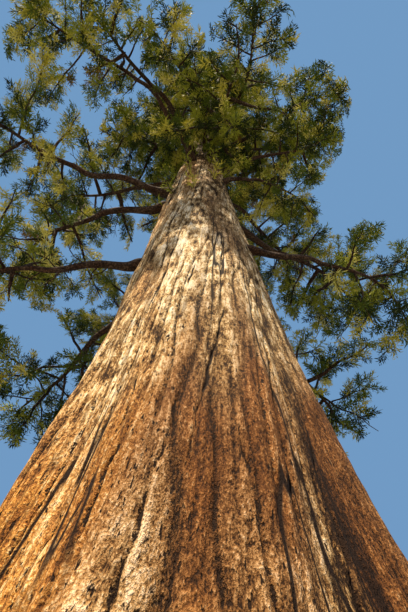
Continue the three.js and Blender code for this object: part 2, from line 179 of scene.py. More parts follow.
def mass_rows():
    """The line and size of every mass: on the boughs, in a spiral up the crown, and the rounded top. Where core is
    given, its space starts there and not at its stem's start, and inner is where its first twig is."""
    rows = [dict(row) for row in BOUGHS]
    for k in range(SPIRAL_MASSES):
        up = k / (SPIRAL_MASSES - 1)
        height = SPIRAL_FOOT + (SPIRAL_TOP - SPIRAL_FOOT) * up
        reach = crown_reach(height) * (0.95 + 0.1 * math.sin(2.4 * k))
        rows.append(
            dict(
                name=f"crown_{k + 1:02d}",
                height=height - 0.1 * reach,
                azimuth=(SPIRAL_START + SPIRAL_TURN * k) % 360,
                reach=reach,
                sweep=SPIRAL_SWEEP if k % 2 else -SPIRAL_SWEEP,
                end=-0.6 + 1.2 * up,
                sag=0.1 - 0.04 * up,
                bare=0,
                core=-0.2,
                inner=0.1,
                wide=max(SPIRAL_WIDE * reach, SPIRAL_LEAST_WIDE),
                deep=5.4 - 1.8 * up,
            )
        )
    rows.append(dict(TOP, name="top", height=TRUNK_TOP, reach=TOP["wide"] / 2, bare=0, is_top=True))
    return rows


# ---- The space of each mass: an ellipsoid, cut flat where it meets its neighbours ----

SPACE_MARGIN = 0.04  # how far a space stays from the cut to its neighbour
SPACE_LENGTH = 0.52  # half a space's length, as a share of its stem's
FAR_OFF = 1e3


def space_of(row):
    inner, outer = limb_line(row, row.get("core", row["bare"])), limb_line(row, 1.0)
    middle = (inner + outer) / 2
    along = outer - inner
    long = np.linalg.norm(along) * SPACE_LENGTH
    axis = np.array((along[0], along[1], 0.0))
    if row.get("is_top"):
        middle[2] = TREE_HEIGHT + SPACE_MARGIN - row["deep"] / 2
        axis, long = np.array((1.0, 0.0, 0.0)), row["wide"] / 2
    axis = axis / np.linalg.norm(axis)
    side = np.cross(UP, axis)
    turned = np.stack((axis / long, side / (row["wide"] / 2), UP / (row["deep"] / 2)))
    return dict(middle=middle, turned=turned, normals=[], limits=[])


def support(space, direction):
    """How far a space reaches from its middle in one direction."""
    return np.linalg.norm(np.linalg.inv(space["turned"]).T @ direction)


def part_spaces(spaces):
    """Gives each pair of spaces a flat cut between them."""
    for i, a in enumerate(spaces):
        for b in spaces[i + 1 :]:
            apart = b["middle"] - a["middle"]
            towards = apart / np.linalg.norm(apart)
            share = support(a, towards) / (support(a, towards) + support(b, towards))
            limit = towards @ (a["middle"] + apart * share)
            a["normals"].append(towards)
            a["limits"].append(limit - SPACE_MARGIN)
            b["normals"].append(-towards)
            b["limits"].append(-limit - SPACE_MARGIN)
    for space in spaces:
        space["normals"] = np.array(space["normals"])
        space["limits"] = np.array(space["limits"])


def in_space(space, points):
    near = np.linalg.norm((points - space["middle"]) @ space["turned"].T, axis=-1) <= 1
    return near & (points @ space["normals"].T < space["limits"]).all(-1)


def room_along(space, points, ways):
    """How far rays get before they leave the space."""
    p = (points - space["middle"]) @ space["turned"].T
    d = ways @ space["turned"].T
    a, b, c = (d * d).sum(-1), (p * d).sum(-1), (p * p).sum(-1) - 1
    inside = b * b - a * c
    far = (-b + np.sqrt(np.maximum(inside, 0))) / a
    towards = ways @ space["normals"].T
    gap = space["limits"] - points @ space["normals"].T
    with np.errstate(divide="ignore", invalid="ignore"):
        faces = np.where(towards > 1e-6, gap / towards, FAR_OFF)
    return np.where(c > 0, 0, np.maximum(np.minimum(far, faces.min(-1)), 0))


# ---- Smooth noise, for the bark's relief and the clumps of foliage ----

NOISE_SEED, CLEFT_SEED = 11, 5
rng = np.random.default_rng(NOISE_SEED)
SHUFFLE = rng.permutation(256)
SLOPES = rng.normal(size=(256, 3))
SLOPES /= np.linalg.norm(SLOPES, axis=1, keepdims=True)
NOISE_GAIN = 1.6


def noise(points, seed=0):
    """Gradient noise from about -1 to 1 at points, the same on every run."""
    cell = np.floor(points).astype(int)
    within = points - cell
    fade = within**3 * (within * (within * 6 - 15) + 10)
    total = 0
    for corner in np.ndindex(2, 2, 2):
        x, y, z = (cell + corner).T
        slope = SLOPES[SHUFFLE[(SHUFFLE[(SHUFFLE[(x + seed) & 255] + y) & 255] + z) & 255]]
        weight = np.where(corner, fade, 1 - fade).prod(-1)
        total = total + weight * ((within - corner) * slope).sum(-1)
    return total * NOISE_GAIN


def stretched(points, across, along):
    """Points in grain space, scaled for a noise that is 1 / across wide and 1 / along high, in metres."""
    return points * np.array((across, across, along))


# the clefts that show most from the front: azimuth at the ground, lean against the grain in degrees a metre, foot
# and head in metres, half width in metres
SEEN_CLEFTS = (
    (-47, 0.0, 1.2, 4.2, 0.010),
    (-38, 1.0, 1.4, 5.6, 0.010),
    (-30, 2.0, 0.8, 3.6, 0.010),
    (-16, 0.9, 0.9, 4.4, 0.008),
    (-18, 3.4, 2.7, 5.6, 0.011),
    (-2, 0.4, 5.0, 9.4, 0.010),
    (18, -4.4, 1.9, 3.8, 0.007),
    (25, 3.0, 0.8, 3.7, 0.010),
    (41, 0.0, 3.0, 8.5, 0.007),
)
MORE_CLEFTS = 70
CLEFT_EDGE = 0.004  # width over which a cleft's side slopes, in metres
DEEP_CLEFT = 0.012  # half width from which a cleft is at its deepest


def cleft_rows():
    """Long clefts in the bark: the seen ones, and others of the same kind all round."""
    dice = np.random.default_rng(CLEFT_SEED)
    rows = list(SEEN_CLEFTS)
    for _ in range(MORE_CLEFTS):
        foot = dice.uniform(-0.5, 12)
        length = dice.uniform(0.8, 3.0)
        rows.append((dice.uniform(0, 360), 0.0, foot, foot + length, dice.uniform(0.006, 0.012)))
    return rows


def cleft_depth(azimuth, z):
    """From 0 beside a cleft to 1 in its middle. Each cleft wanders with the grain and narrows to both ends."""
    depth = np.zeros_like(z)
    a_degree = np.radians(1) * plain_radius(z)
    for number, (at, lean, foot, head, width) in enumerate(cleft_rows()):
        near = (z > foot) & (z < head)
        if not near.any():
            continue
        up = (z[near] - foot) / (head - foot)
        here = z[near]
        wander = lean * here + 0.8 * np.sin(here * 0.8 + number) + 0.45 * np.sin(here * 2.3 + 2.0 * number)
        wander = wander + 0.35 * np.sin(here * 7.7 + number) + 0.2 * np.sin(here * 19 + number)
        off = within_half_turn(azimuth[near] - at - GRAIN_TWIST * here - wander)
        uneven = 1 + 0.25 * np.sin(here * 5.3 + 3.0 * number) + 0.2 * np.sin(here * 13.7)
        half = width * np.sin(np.pi * up) ** 0.6 * uneven
        slope = np.clip(1.5 - np.abs(off) * a_degree[near] / (half + CLEFT_EDGE), 0, 1)
        depth[near] = np.maximum(depth[near], slope * np.clip(half / DEEP_CLEFT, 0, 1))
    return depth


RIDGES, STRANDS = 46, 104  # round the whole trunk
GRAIN_RADIUS = 1.5


def bark_relief(grain, azimuth):
    """How far the bark stands out, in metres, how dark its furrows and clefts are, as painted shade, and how pale
    its crests, partly as painted highlight, at points in grain space: a cylinder of GRAIN_RADIUS on which the
    fibres run straight up."""
    bend = noise(stretched(grain, 0.9, 0.3), 3)
    grain = grain + np.stack((bend, -bend, np.zeros_like(bend)), -1) * 0.15
    # swells 0.6 m wide, ridges 0.2 m wide with narrow furrows between, strands 90 mm and tufts 45 mm wide
    swells = noise(stretched(grain, 1.7, 0.17), 5)
    around = np.radians(azimuth - GRAIN_TWIST * grain[:, 2])
    drift = 9 * noise(stretched(grain, 1.4, 0.2), 17) + 2.2 * noise(stretched(grain, 4.5, 0.8), 19)
    ridges = 0.55 * np.abs(np.sin((RIDGES * around + drift) / 2))
    drift = 11 * noise(stretched(grain, 2.6, 0.4), 29) + 3.0 * noise(stretched(grain, 8.0, 1.6), 31)
    strands = 0.5 * np.abs(np.sin((STRANDS * around + drift) / 2))
    tufts = noise(stretched(grain, 22.0, 3.0), 41)
    # on the golden side the ridges and strands stand out like a braid, with their painted furrow shade and crest
    # highlight strongest; on the other the bark is smoother
    braided = 0.62 + 0.38 * np.cos(np.radians(azimuth + 70))
    worn = np.clip(0.55 + 1.8 * noise(stretched(grain, 1.6, 0.5), 47), 0.12, 1)
    backs = (1 - np.exp(-ridges / 0.17)) * worn
    cords = 1 - np.exp(-strands / 0.18)
    stand = 0.02 * swells + 0.055 * braided * (backs - 0.5) + 0.016 * braided * (cords - 0.6)
    cleft = cleft_depth(azimuth, grain[:, 2])
    stand = stand + 0.008 * tufts - 0.03 * cleft
    # the furrows and clefts are painted dark as shade in the recesses; the crests are painted pale, partly as
    # highlight
    furrow_shade = bell(ridges, 0, 0.16) * worn + 0.3 * bell(strands, 0, 0.12)
    cracks_and_painted_shade = np.clip(np.maximum(cleft, 0.8 * furrow_shade * braided), 0, 1)
    crest_and_highlight = np.clip(0.1 + braided * (0.45 * backs + 0.5 * cords) + 0.35 * tufts, 0, 1)
    return stand, cracks_and_painted_shade, crest_and_highlight


def add_attribute(mesh, name, values):
    kind = "FLOAT_VECTOR" if values.ndim == 2 else "FLOAT"
    layer = mesh.attributes.new(name, kind, "POINT")
    layer.data.foreach_set("vector" if values.ndim == 2 else "value", values.astype(np.float32).ravel())


def add_piece(name, mesh, material, slot, *nodes):
    """Puts a finished mesh in the scene as a piece of the object that stands for CAD nodes."""
    piece = bpy.data.objects.new(name, mesh)
    bpy.context.scene.collection.objects.link(piece)
    mesh.materials.append(material)
    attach(piece, "root")
    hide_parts(*nodes)


def read_points(mesh):
    points = np.empty(len(mesh.vertices) * 3, np.float32)
    mesh.vertices.foreach_get("co", points)
    return points.reshape(-1, 3).astype(float)


def write_points(mesh, points):
    mesh.vertices.foreach_set("co", points.astype(np.float32).ravel())
    mesh.update()


def closed_tube(name, columns, rows):
    """A closed tube of radius 1 and height 1 as a mesh: a grid rolled up, its seam welded and its ends shut."""
    bm = bmesh.new()
    bmesh.ops.create_grid(bm, x_segments=columns, y_segments=rows, size=0.5)
    for v in bm.verts:
        turn = 2 * math.pi * v.co.x
        v.co = (math.sin(turn), -math.cos(turn), v.co.y + 0.5)
    bmesh.ops.remove_doubles(bm, verts=bm.verts, dist=1e-4)
    bmesh.ops.holes_fill(bm, edges=[e for e in bm.edges if e.is_boundary], sides=0)
    bmesh.ops.recalc_face_normals(bm, faces=bm.faces)
    for face in bm.faces:
        face.smooth = len(face.verts) == 4
    # the flat ends have corners of their own, so that they don't bend the shading of the round side
    bmesh.ops.split(bm, geom=[face for face in bm.faces if not face.smooth])
    mesh = bpy.data.meshes.new(name)
    bm.to_mesh(mesh)
    bm.free()
    return mesh


AT_END = 1 - 1e-5  # a vertex of a closed tube over this height is on its upper end


def trunk_band(name, low, high, columns, rows, next_columns, material):
    """One length of the trunk with its bark. Where the length above has half as many columns, every other
    vertex of the upper edge is drawn onto the chord between its neighbours, so that no slit shows."""
    mesh = closed_tube(name, columns, rows)
    form = read_points(mesh)
    azimuth = np.degrees(np.arctan2(form[:, 0], -form[:, 1]))
    z = low + (high - low) * form[:, 2]
    column = np.round(azimuth / 360 * columns).astype(int) % columns
    upper = form[:, 2] > AT_END
    points = bark_surface(mesh, azimuth, z)
    if next_columns < columns:
        edge = np.zeros((columns, 3))
        edge[column[upper]] = points[upper]
        odd = np.arange(1, columns, 2)
        edge[odd] = (edge[odd - 1] + edge[(odd + 1) % columns]) / 2
        points[upper] = edge[column[upper]]
    write_points(mesh, points)
    add_piece(name, mesh, material, "trunk_bark", "trunk")


RELIEF_RADIUS = 1.35  # radius at which the relief is as deep as bark_relief gives it
RELIEF_SUNK = 0.012  # how far it starts inside the solid's surface


def bark_surface(mesh, azimuth, z):
    """Points of the bark at azimuths and heights; its grain, the painted shade of its furrows, and its tones, some
    of them painted light, are kept as attributes.
    """
    turned = np.radians(azimuth - GRAIN_TWIST * z)
    grain = np.stack((np.sin(turned) * GRAIN_RADIUS, -np.cos(turned) * GRAIN_RADIUS, z), -1)
    stand, cracks_and_painted_shade, crest_and_highlight = bark_relief(grain, azimuth)
    # golden on the left and on the rib at the right: partly the bark's own tone, partly painted sunlight, with
    # patches at random
    golden_and_painted_sun = 0.22 + 0.8 * bell(azimuth, 56, 10) - 1.1 * np.sin(np.radians(azimuth + 8))
    golden_and_painted_sun = golden_and_painted_sun + 0.55 * noise(stretched(grain, 1.3, 0.35), 83)
    # paler higher up, from a greater height right of the middle, and a little low down beside the rib: partly
    # bleached bark, partly painted highlight
    start = 1.2 + 1.5 * bell(azimuth, 28, 30)
    low_down = np.clip(1.3 - z / 6, 0, 1)
    bleached_and_painted_highlight = np.clip((z - start) / 4, 0, 1) * 0.85 + 0.3 * low_down * bell(azimuth, 36, 12)
    bleached_and_painted_highlight = bleached_and_painted_highlight + 0.8 * noise(stretched(grain, 2.1, 0.4), 97)
    # painted shadow low in the middle and painted shade in a band beside the rib, with stains at random
    painted_shadow_and_stain = bell(azimuth, 8, 12) * np.clip(1.2 - z / 9, 0, 1)
    painted_shadow_and_stain = painted_shadow_and_stain + 1.1 * bell(azimuth, 42, 6) * np.clip(1.2 - z / 7, 0, 1)
    painted_shadow_and_stain = painted_shadow_and_stain + 0.9 * noise(stretched(grain, 1.1, 0.25), 113)
    # lichen low on the right flank
    lichen = bell(azimuth, 86, 15) * np.clip(1.25 - z / 7, 0, 1)
    lichen = lichen * (1.15 + 1.2 * noise(stretched(grain, 2.4, 0.9), 101))
    add_attribute(mesh, "grain", grain)
    shares = dict(furrow_shade=cracks_and_painted_shade, crest_and_highlight=crest_and_highlight, golden_and_painted_sun=golden_and_painted_sun, bleached_and_painted_highlight=bleached_and_painted_highlight, painted_shadow_and_stain=painted_shadow_and_stain, lichen=lichen)
    for name, values in shares.items():
        add_attribute(mesh, name, np.clip(values, 0, 1))
    # the relief is shallower on the thin upper trunk
    radius = trunk_radius(z, azimuth)
    stand = stand * np.clip(radius / RELIEF_RADIUS, 0, 1.2) ** 1.5
    return outwards(azimuth) * (radius + stand - RELIEF_SUNK)[:, None] + trunk_centre(z)


# ---- Twigs and sprays as joined meshes from arrays ----


class Growth:
    """Collects the points and triangles of many small shapes, to be joined meshes."""

    def __init__(self):
        self.points, self.faces, self.count = [], [], 0

    def add(self, points, faces):
        """points (shapes, corners, 3) of one kind of shape, and the faces of one of them."""
        shapes, corners = points.shape[:2]
        if not shapes:
            return
        shift = self.count + np.arange(shapes)[:, None, None] * corners
        self.points.append(points.reshape(-1, 3))
        self.faces.append((faces[None] + shift).reshape(-1, 3))
        self.count += shapes * corners

    def triangles(self):
        return sum(len(f) for f in self.faces)

    def mesh(self, name, smooth):
        points, faces = np.concatenate(self.points), np.concatenate(self.faces)
        mesh = bpy.data.meshes.new(name)
        mesh.vertices.add(len(points))
        mesh.loops.add(faces.size)
        mesh.polygons.add(len(faces))
        mesh.vertices.foreach_set("co", points.astype(np.float32).ravel())
        mesh.loops.foreach_set("vertex_index", faces.astype(np.int32).ravel())
        mesh.polygons.foreach_set("loop_start", np.arange(0, faces.size, 3, dtype=np.int32))
        mesh.polygons.foreach_set("use_smooth", np.full(len(faces), smooth))
        mesh.update(calc_edges=True)
        return mesh


def unit(vectors):
    return vectors / np.maximum(np.linalg.norm(vectors, axis=-1, keepdims=True), 1e-9)


def frame_of(along):
    """Two unit vectors square to each direction: one level, one above it."""
    level = unit(np.cross(along, UP) + 1e-6)
    return level, np.cross(level, along)


def tube_faces(rings, sides):
    faces = []
    for r in range(rings - 1):
        for s in range(sides):
            a, b = r * sides + s, r * sides + (s + 1) % sides
            faces += [(a, b, b + sides), (a, b + sides, a + sides)]
    last = (rings - 1) * sides
    for s in range(1, sides - 1):
        faces += [(0, s + 1, s), (last, last + s, last + s + 1)]
    return np.array(faces)


def add_tubes(growth, lines, girths, sides):
    """Tapering closed tubes along lines (tubes, rings, 3) with girths (tubes, rings)."""
    along = unit(np.gradient(lines, axis=1))
    level, above = frame_of(along)
    turn = 2 * np.pi * np.arange(sides) / sides
    ring = level[:, :, None] * np.cos(turn)[:, None] + above[:, :, None] * np.sin(turn)[:, None]
    points = lines[:, :, None] + ring * girths[:, :, None, None]
    tubes, rings = lines.shape[:2]
    growth.add(points.reshape(tubes, rings * sides, 3), tube_faces(rings, sides))


BLADE_FACES = np.array(((0, 3, 1), (0, 2, 3)))
BLADE_FOLD = 0.22  # how far its edges stand above its middle, as a share of its width
BLADE_WIDEST = 0.5  # where it is widest, as a share of its length
BLADE_ROLL = 2.4  # radians from each blade to the next


def add_blades(growth, roots, ways, lengths, widths):
    """Blades of two faces, folded along the middle: a root, two edges and a tip."""
    level, above = frame_of(ways)
    roll = np.arange(len(roots)) * BLADE_ROLL
    flat = level * np.cos(roll)[:, None] + above * np.sin(roll)[:, None]
    fold = np.cross(ways, flat)
    middle = roots + ways * (lengths * BLADE_WIDEST)[:, None]
    half, keel = flat * widths[:, None] / 2, fold * widths[:, None] * BLADE_FOLD
    tips = roots + ways * lengths[:, None]
    growth.add(np.stack((roots, middle + half + keel, middle - half + keel, tips), 1), BLADE_FACES)


# ---- Growing a mass ----

TWIG_GAP = 0.2  # from each twig to the next on a stem
SHOOT_GAP = 0.13  # from each shoot to the next on a twig
SPRIG_GAP = 0.04  # from each sprig to the next on a shoot
BLADES_A_SPRIG = 6
SPRIG_LENGTH, SPRIG_WIDTH = 0.22, 0.026
BLADE_LENGTH, BLADE_WIDTH = 0.155, 0.033
STEM_TIP = 0.97  # the share of its line where a stem ends
STEM_RINGS, STEM_SIDES = 26, 8
TWIG_RINGS, TWIG_SIDES = 8, 4
LEAST_TWIGS = 7  # on a stem
SHOOT_GIRTH, SHOOT_SIDES = 0.009, 3
BROWN_SHARE = 0.01  # of all shoots
BROWN = 5  # its number in GREENS
TONE_STEPS = (-0.3, 0.1, 0.5, 1.05)  # where the painted light on a shoot takes it to the next green
MASS_SEED, DEAD_TWIG_SEED, TUFT_SEED = 100, 500, 700
# below this noise a mass has no shoots, so that its foliage stands in clumps, closer together in the crown
CLUMP_GAP, CROWN_CLUMP_GAP = -0.27, -0.4
# the share of a twig, from its foot, that carries no shoots, on the boughs and in the crown
BARE_TWIG, CROWN_BARE_TWIG = 0.27, 0.12
SIZE_HEIGHT = 18.0  # sprays are of these sizes at this height, smaller below and larger above, within limits
LEAST_SIZE, MOST_SIZE = 0.78, 1.1


def size_at(row):
    return min(max(row["height"] / SIZE_HEIGHT, LEAST_SIZE), MOST_SIZE)


def branch_ways(along, roll, opened):
    """Directions that leave lines going along, rolled round them and opened away from them, in degrees."""
    level, above = frame_of(along)
    roll, opened = np.radians(roll)[..., None], np.radians(opened)[..., None]
    return unit(along * np.cos(opened) + (level * np.sin(roll) + above * np.cos(roll)) * np.sin(opened))


def crooks(ways, s, turns, dice):
    """How far crooked lines stray to two sides, at shares of their length, in turns of their own."""
    level, above = frame_of(ways)
    phase = dice.uniform(0, 6.3, (len(ways), 1, 1))
    return level[:, None] * np.sin(phase + turns[0] * s) + above[:, None] * np.sin(2 * phase + turns[1] * s)


def first_twig(row):
    """The share of its line where a stem has its first twig."""
    return row.get("inner", row["bare"] + 0.02)


def grow_mass(row, number, space, limb_points, wood, foliage):
    """Grows a mass from its limb: a stem, twigs off the stem, shoots off both, sprigs off the shoots, needles."""
    dice = np.random.default_rng(MASS_SEED + number)
    start = row["bare"] - 0.01 if row["bare"] else (0.0 if row.get("is_top") else -0.12)
    shares = np.linspace(start, STEM_TIP, STEM_RINGS)
    add_tubes(wood, limb_line(row, shares)[None], limb_girth(row, shares)[None], STEM_SIDES)
    length = np.linalg.norm(limb_line(row, 1.0) - limb_line(row, row["bare"]))
    twig_lines, twig_reach = grow_twigs(row, number, length, space, wood, dice)
    places = shoot_places(row, length, twig_lines, twig_reach, dice)
    shoots = grow_shoots(row, space, places, limb_points, wood, dice)
    grow_sprigs(row, space, shoots, foliage, dice)


def grow_twigs(row, number, length, space, wood, dice):
    """Crooked twigs all round a stem, out to the edge of the space. Every fourth is thicker. Returns their lines
    and how far they reach."""
    twigs = max(int(length / TWIG_GAP), LEAST_TWIGS)
    inner = first_twig(row)
    at = inner + (STEM_TIP - inner) * (np.arange(twigs) + 0.6) / twigs
    roots = limb_line(row, at)
    roll = GOLDEN * np.arange(twigs) + dice.uniform(-18, 18, twigs) + 40 * number
    opened = 86 - 40 * (at - inner) / (STEM_TIP - inner) + dice.uniform(0, 14, twigs)
    ways = branch_ways(limb_way(row, at), roll, opened)
    room = room_along(space, roots, ways)
    reach = np.maximum(room * dice.uniform(0.92, 1.02, twigs) - 0.06, 0.2)
    far = reach[:, None, None]
    lift = dice.uniform(-0.02, 0.16, twigs)[:, None, None] * far * UP
    s = np.linspace(0, 1, TWIG_RINGS)[None, :, None]
    lines = roots[:, None] + ways[:, None] * far * s + lift * s * (s - 0.45)
    lines = lines + crooks(ways, s, (7, 11), dice) * (0.07 * far * s * (1.15 - s))
    thick = np.where(np.arange(twigs) % 4 == 1, 1.8, 1)
    girth = np.minimum(0.015 + 0.02 * reach, limb_girth(row, at) * 0.8) * thick
    add_tubes(wood, lines, girth[:, None] * (1 - 0.75 * s[0, :, 0])[None], TWIG_SIDES)
    return lines, reach


def shoot_places(row, length, lines, reach, dice):
    """Where shoots grow on the twigs and on the outer stem: their roots, the way that the wood goes there, and how
    far out on it they are, from 0 to 1."""
    leafless = BARE_TWIG if row["bare"] else CROWN_BARE_TWIG
    places = []
    for line, far in zip(lines, reach):
        count = max(int(far / SHOOT_GAP), 3)
        outer = leafless + (0.98 - leafless) * (np.arange(count) + dice.uniform(0.2, 0.8, count)) / count
        step = outer * (TWIG_RINGS - 1)
        low = np.minimum(step.astype(int), TWIG_RINGS - 2)
        along = line[low + 1] - line[low]
        places.append((line[low] + along * (step - low)[:, None], unit(along), outer))
    count = max(int(length * 0.6 / SHOOT_GAP), 6)
    outer = 0.45 + 0.55 * (np.arange(count) + 0.5) / count
    at = first_twig(row) + (STEM_TIP - first_twig(row)) * outer
    places.append((limb_line(row, at), limb_way(row, at), outer))
    return [np.concatenate(part) for part in zip(*places)]


def grow_shoots(row, space, places, limb_points, wood, dice):
    """Thin shoots within the space, clear of other limbs and in clumps. Returns what their sprigs grow by: roots,
    ways, reaches, how they bow, and their middles."""
    roots, along, outer = places
    count = len(roots)
    roll = GOLDEN * np.arange(count) + dice.uniform(-30, 30, count)
    ways = unit(branch_ways(along, roll, dice.uniform(32, 62, count)) + 0.16 * UP)
    room = room_along(space, roots, ways)
    reach = np.minimum((0.38 + 0.36 * (1 - outer)) * dice.uniform(0.75, 1.25, count), room - 0.04)
    middle = roots + ways * (reach / 2)[:, None]
    keep = (reach > 0.1) & clear_of_limbs(row, middle, limb_points)
    keep &= noise(middle, 61) > (CLUMP_GAP if row["bare"] else CROWN_CLUMP_GAP)
    roots, ways, reach, middle = roots[keep], ways[keep], reach[keep], middle[keep]
    bow = dice.uniform(-0.05, 0.12, len(roots))[:, None] * reach[:, None] * UP
    lines = np.stack((roots, roots + ways * reach[:, None]), 1)
    add_tubes(wood, lines, np.full((len(roots), 1), SHOOT_GIRTH) * np.array((1, 0.4)), SHOOT_SIDES)
    return roots, ways, reach, bow, middle


def grow_sprigs(row, space, shoots, foliage, dice):
    """Sprigs all along the shoots, shorter towards their tips, with the needles on them."""
    roots, ways, reach, bow, middle = shoots
    size = size_at(row)
    many = np.maximum((reach / (SPRIG_GAP * size**1.2)).astype(int), 3)
    owner = np.repeat(np.arange(len(roots)), many)
    place = (np.arange(many.sum()) - np.repeat(np.cumsum(many) - many, many) + 0.7) / many[owner]
    sprig_roots = roots[owner] + ways[owner] * (reach[owner] * place)[:, None]
    sprig_roots = sprig_roots + bow[owner] * (place * (1 - place) * 4)[:, None]
    roll = GOLDEN * np.arange(len(owner)) + dice.uniform(-40, 40, len(owner))
    sprig_ways = branch_ways(ways[owner], roll, dice.uniform(25, 75, len(owner)) * (1.1 - 0.4 * place))
    sprig_reach = SPRIG_LENGTH * size**0.7 * (1.15 - 0.55 * place) * dice.uniform(0.7, 1.2, len(owner))
    tone = shoot_tones(row, space, middle, dice)[owner]
    spray(space, foliage, tone, sprig_roots, sprig_ways, sprig_reach, size, dice)


DEAD_TWIGS = 9  # on each bough


def grow_dead_twigs(row, number, wood):
    """Short crooked twigs without needles, which old boughs keep on their bare inner part."""
    dice = np.random.default_rng(DEAD_TWIG_SEED + number)
    count = DEAD_TWIGS
    at = row["bare"] * (0.25 + 0.75 * (np.arange(count) + dice.uniform(0, 0.8, count)) / count)
    ways = branch_ways(limb_way(row, at), dice.uniform(0, 360, count), dice.uniform(35, 75, count))
    reach = dice.uniform(0.25, 0.8, count)[:, None, None]
    s = np.linspace(0, 1, 6)[None, :, None]
    lines = limb_line(row, at)[:, None] + (ways[:, None] + crooks(ways, s, (6, 9), dice) * 0.12) * reach * s
    add_tubes(wood, lines, 0.016 * (1 - 0.7 * s[..., 0]) * np.ones((count, 1)), TWIG_SIDES)
    fork_ways = branch_ways(ways, dice.uniform(0, 360, count), dice.uniform(30, 55, count))
    fork_lines = lines[:, 3, None] + fork_ways[:, None] * reach * 0.45 * np.linspace(0, 1, 3)[None, :, None]
    add_tubes(wood, fork_lines, 0.008 * np.array(((1, 0.8, 0.4),)) * np.ones((count, 1)), SHOOT_SIDES)


TUFTS, SPRIGS_A_TUFT = 46, 10  # round the whole trunk
TUFT_FOOT, TUFT_HEAD = 12.0, 21.0
TUFT_GREENS = (1, 2, 2, 3)  # numbers in GREENS, each as likely
TUFT_SIZE = 0.9


def grow_trunk_tufts(wood, foliage):
    """Short leafy shoots straight from the trunk's bark, where the crown begins."""
    dice = np.random.default_rng(TUFT_SEED)
    azimuth = GOLDEN * np.arange(TUFTS) + dice.uniform(-20, 20, TUFTS)
    z = TUFT_FOOT + (TUFT_HEAD - TUFT_FOOT) * (np.arange(TUFTS) + dice.random(TUFTS)) / TUFTS
    roots = trunk_centre(z) + outwards(azimuth) * (trunk_radius(z, azimuth) - 0.05)[:, None]
    ways = unit(outwards(azimuth) + UP * dice.uniform(-0.2, 0.9, TUFTS)[:, None])
    reach = dice.uniform(0.35, 0.75, TUFTS)
    s = np.linspace(0, 1, 4)
    lines = roots[:, None] + ways[:, None] * reach[:, None, None] * s[None, :, None]
    add_tubes(wood, lines, np.full((TUFTS, 1), 0.016) * (1 - 0.6 * s), TWIG_SIDES)
    owner = np.repeat(np.arange(TUFTS), SPRIGS_A_TUFT)
    place = np.tile((np.arange(SPRIGS_A_TUFT) + 0.9) / SPRIGS_A_TUFT, TUFTS)
    sprig_roots = roots[owner] + ways[owner] * (reach[owner] * place)[:, None]
    sprig_ways = branch_ways(ways[owner], GOLDEN * np.arange(len(owner)), dice.uniform(25, 75, len(owner)))
    sprig_reach = SPRIG_LENGTH * dice.uniform(0.6, 1.1, len(owner))
    tone = dice.choice(TUFT_GREENS, TUFTS)[owner]
    spray(None, foliage, tone, sprig_roots, sprig_ways, sprig_reach, TUFT_SIZE, dice)


def spray(space, foliage, tone, roots, ways, reach, size, dice):
    """Sprigs with their blades of scaly needles, each dealt to the mesh of its own green. With a space, only
    those whose tips stay in it are kept."""
    count = len(roots)
    place = (np.arange(BLADES_A_SPRIG) + 0.5) / BLADES_A_SPRIG
    blade_roots = roots[:, None] + ways[:, None] * reach[:, None, None] * place[:, None]
    roll = GOLDEN * np.arange(BLADES_A_SPRIG) + dice.uniform(0, 360, (count, 1))
    along = np.repeat(ways[:, None], BLADES_A_SPRIG, 1)
    blade_ways = branch_ways(along, roll, dice.uniform(16, 62, roll.shape) * (1 - 0.3 * place))
    many = roll.size
    all_roots = np.concatenate((roots, blade_roots.reshape(-1, 3)))
    all_ways = np.concatenate((ways, blade_ways.reshape(-1, 3)))
    all_lengths = np.concatenate((reach, BLADE_LENGTH * size * dice.uniform(0.75, 1.25, many)))
    all_widths = np.concatenate((np.full(count, SPRIG_WIDTH), BLADE_WIDTH * dice.uniform(0.8, 1.2, many))) * size
    all_tones = np.concatenate((tone, np.repeat(tone, BLADES_A_SPRIG)))
    tips = all_roots + all_ways * all_lengths[:, None]
    keep = in_space(space, tips) if space else np.ones(len(tips), bool)
    for index, growth in enumerate(foliage):
        mine = keep & (all_tones == index)
        add_blades(growth, all_roots[mine], all_ways[mine], all_lengths[mine], all_widths[mine])


def shoot_tones(row, space, points, dice):
    """Which green each shoot has, as painted light: lighter and yellower on top and outside, darker and bluer
    below, and a few brown."""
    local = (points - space["middle"]) @ space["turned"].T
    light = local[:, 2] * 0.3 + 0.25 * np.linalg.norm(local, axis=1) + dice.normal(0, 0.55, len(points))
    light = light + 0.12 * math.sin(row["height"] * 3.1)
    tones = np.digitize(light, TONE_STEPS)
    return np.where(dice.random(len(points)) < BROWN_SHARE, BROWN, tones)


def clear_of_limbs(row, points, limb_points):
    """Whether points are outside the trunk and off the other boughs."""
    from_axis = points - trunk_centre(points[:, 2])
    azimuth = np.degrees(np.arctan2(from_axis[:, 0], -from_axis[:, 1]))
    clear = np.hypot(from_axis[:, 0], from_axis[:, 1]) > trunk_radius(points[:, 2], azimuth) + 0.1
    clear |= points[:, 2] > TRUNK_TOP
    for owner, at, girth in limb_points:
        if owner != row["name"]:
            apart = np.linalg.norm(points[:, None] - at[None], axis=-1)
            clear &= (apart > girth + 0.12).all(1)
    return clear


# ---- Materials ----


def linear(code):
    """An sRGB hex colour as linear values."""
    parts = [int(code[i : i + 2], 16) / 255 for i in (1, 3, 5)]
    return [p / 12.92 if p <= 0.04045 else ((p + 0.055) / 1.055) ** 2.4 for p in parts] + [1.0]


